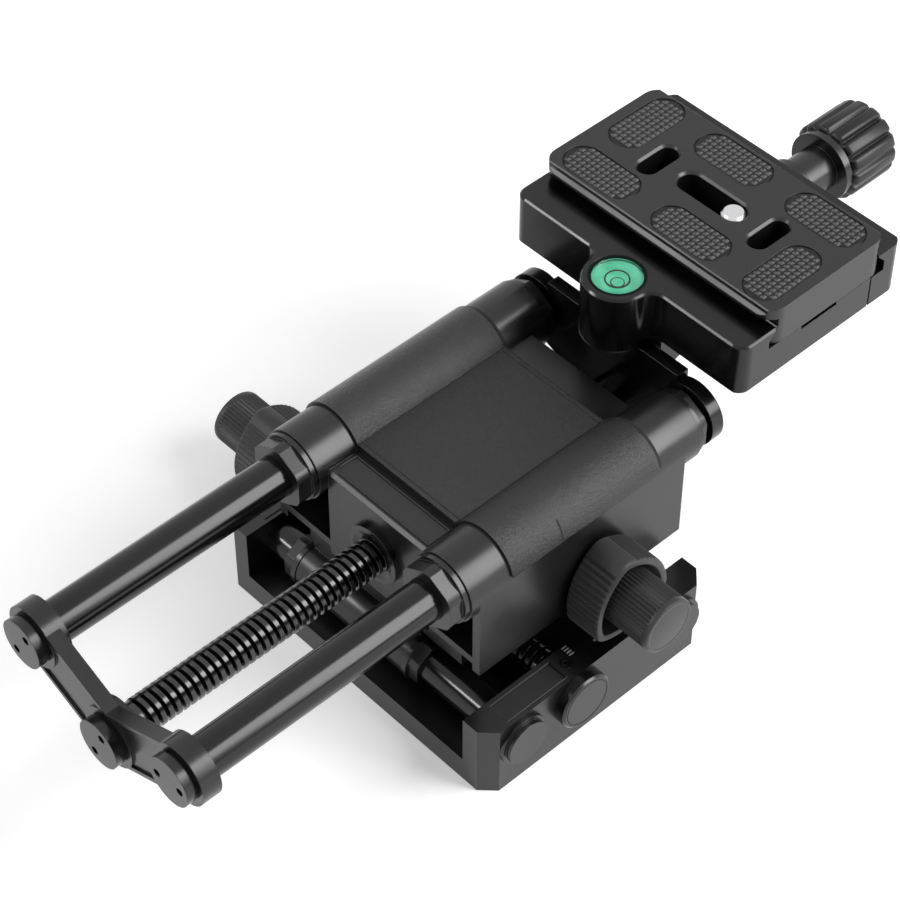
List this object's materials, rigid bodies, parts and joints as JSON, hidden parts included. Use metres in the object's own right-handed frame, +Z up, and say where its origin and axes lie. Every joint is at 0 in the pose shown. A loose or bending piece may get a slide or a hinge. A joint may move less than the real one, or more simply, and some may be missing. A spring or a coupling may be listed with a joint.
{
  "type": "macro focusing rail",
  "caption": "Two-axis focusing rail: twin long rods with a rack screw and geared knob, a cross slide on a base tray, and a quick-release camera clamp with plate and level.",
  "frame": {"origin": "centre of the tripod socket's mouth, in the underside of the base tray", "axes": "+Z up, +Y along the long rods towards the camera clamp, +X across, towards the long drive's knob"},
  "size_m": [0.1275, 0.2338, 0.0808],
  "materials": {
    "casting_black": "satin black anodised",
    "rod_black": "polished, gloss black",
    "screw_black": "gloss black oxide",
    "cap_black": "semi-gloss black",
    "bare_steel": "bright",
    "bush_bronze": "sintered bronze",
    "knob_rubber": "matt ribbed",
    "knob_plastic": "matt",
    "cover_plastic": "fine leather-like grain",
    "clamp_black": "gloss black anodised",
    "plate_black": "satin black anodised",
    "pad_rubber": "diamond grid",
    "level_liquid": "green spirit level",
    "level_ring_black": "gloss"
  },
  "bodies": {
    "base": {"base_tray": "casting_black", "left_wall": "casting_black", "right_wall": "casting_black", "tripod_bush": "bare_steel", "wall_strips": "cap_black", "grub_screws": "screw_black", "front_cross_rod": "rod_black", "rear_cross_rod": "rod_black", "cross_rod_caps": "cap_black", "screw_bushes": "cap_black", "screw_end_disc": "cap_black"},
    "cross_drive": {"cross_screw": "screw_black", "cross_knob": "knob_plastic"},
    "cross_lock": {"cross_lock_knob": "knob_rubber"},
    "carriage": {"carriage_body": "casting_black", "top_cover": "cover_plastic", "long_bushes": "bush_bronze", "long_glands": "cap_black", "worm_rings": "cap_black", "carriage_saddle": "casting_black", "saddle_bolts": "screw_black", "cross_bushes": "bush_bronze", "cross_glands": "cap_black", "cross_nut": "bush_bronze", "shaft_bushes": "bush_bronze"},
    "drive": {"drive_shaft": "bare_steel", "drive_pinion": "bare_steel", "drive_knob": "knob_plastic"},
    "drive_lock": {"drive_lock_knob": "knob_rubber"},
    "rail": {"left_rod": "rod_black", "right_rod": "rod_black", "worm_rod": "screw_black", "end_yoke": "cap_black", "rod_end_caps": "cap_black", "head_bracket": "clamp_black", "head_screws": "screw_black", "clamp_body": "clamp_black", "clamp_bolts": "screw_black", "level_vial": "level_liquid", "level_ring": "level_ring_black"},
    "jaw": {"moving_jaw": "clamp_black", "guide_pins": "bare_steel"},
    "clamp_drive": {"clamp_screw": "bare_steel", "clamp_stem": "cap_black", "clamp_knob": "knob_rubber"},
    "plate": {"quick_plate": "plate_black", "plate_pads": "pad_rubber", "plate_stop_screws": "screw_black"},
    "screw_slider": {"screw_clip": "screw_black"},
    "stud": {"camera_screw": "bare_steel"}
  },
  "joints": [
    {"name": "cross_spin", "type": "hinge", "parent": "base", "child": "cross_drive", "pos_m": [0.044, -0.0068, 0.0134], "axis": [-1, 0, 0], "range_deg": [-1261, 3421]},
    {"name": "cross_lock_turn", "type": "hinge", "parent": "base", "child": "cross_lock", "pos_m": [-0.056, -0.0068, 0.0134], "axis": [1, 0, 0], "range_deg": [0, 90]},
    {"name": "carriage_slide", "type": "slide", "parent": "base", "child": "carriage", "axis": [1, 0, 0], "range_m": [-0.007, 0.019]},
    {"name": "drive_spin", "type": "hinge", "parent": "carriage", "child": "drive", "pos_m": [0.04, 0.0092, 0.03307], "axis": [-1, 0, 0], "range_deg": [-26, 1510]},
    {"name": "drive_lock_turn", "type": "hinge", "parent": "carriage", "child": "drive_lock", "pos_m": [0.038, 0.0092, 0.03307], "axis": [1, 0, 0], "range_deg": [0, 90]},
    {"name": "long_slide", "type": "slide", "parent": "carriage", "child": "rail", "axis": [0, 1, 0], "range_m": [-0.001, 0.0585]},
    {"name": "jaw_slide", "type": "slide", "parent": "rail", "child": "jaw", "axis": [0, 1, 0], "range_m": [0, 0.004]},
    {"name": "clamp_spin", "type": "hinge", "parent": "jaw", "child": "clamp_drive", "pos_m": [0, 0.12, 0.0666], "axis": [0, 1, 0], "range_deg": [0, 1441]},
    {"name": "plate_slide", "type": "slide", "parent": "rail", "child": "plate", "axis": [1, 0, 0], "range_m": [-0.01, 0.01]},
    {"name": "stud_slide", "type": "slide", "parent": "plate", "child": "screw_slider", "axis": [1, 0, 0], "range_m": [-0.011, 0]},
    {"name": "stud_spin", "type": "hinge", "parent": "screw_slider", "child": "stud", "pos_m": [0.0065, 0.0764, 0.076], "axis": [0, 0, 1], "continuous": true}
  ],
  "couplings": [
    {"joint": "cross_spin", "follows": "carriage_slide", "rad_per_m": 3141.6},
    {"joint": "drive_spin", "follows": "long_slide", "rad_per_m": 448.8},
    {"joint": "clamp_spin", "follows": "jaw_slide", "rad_per_m": 6283.2}
  ]
}
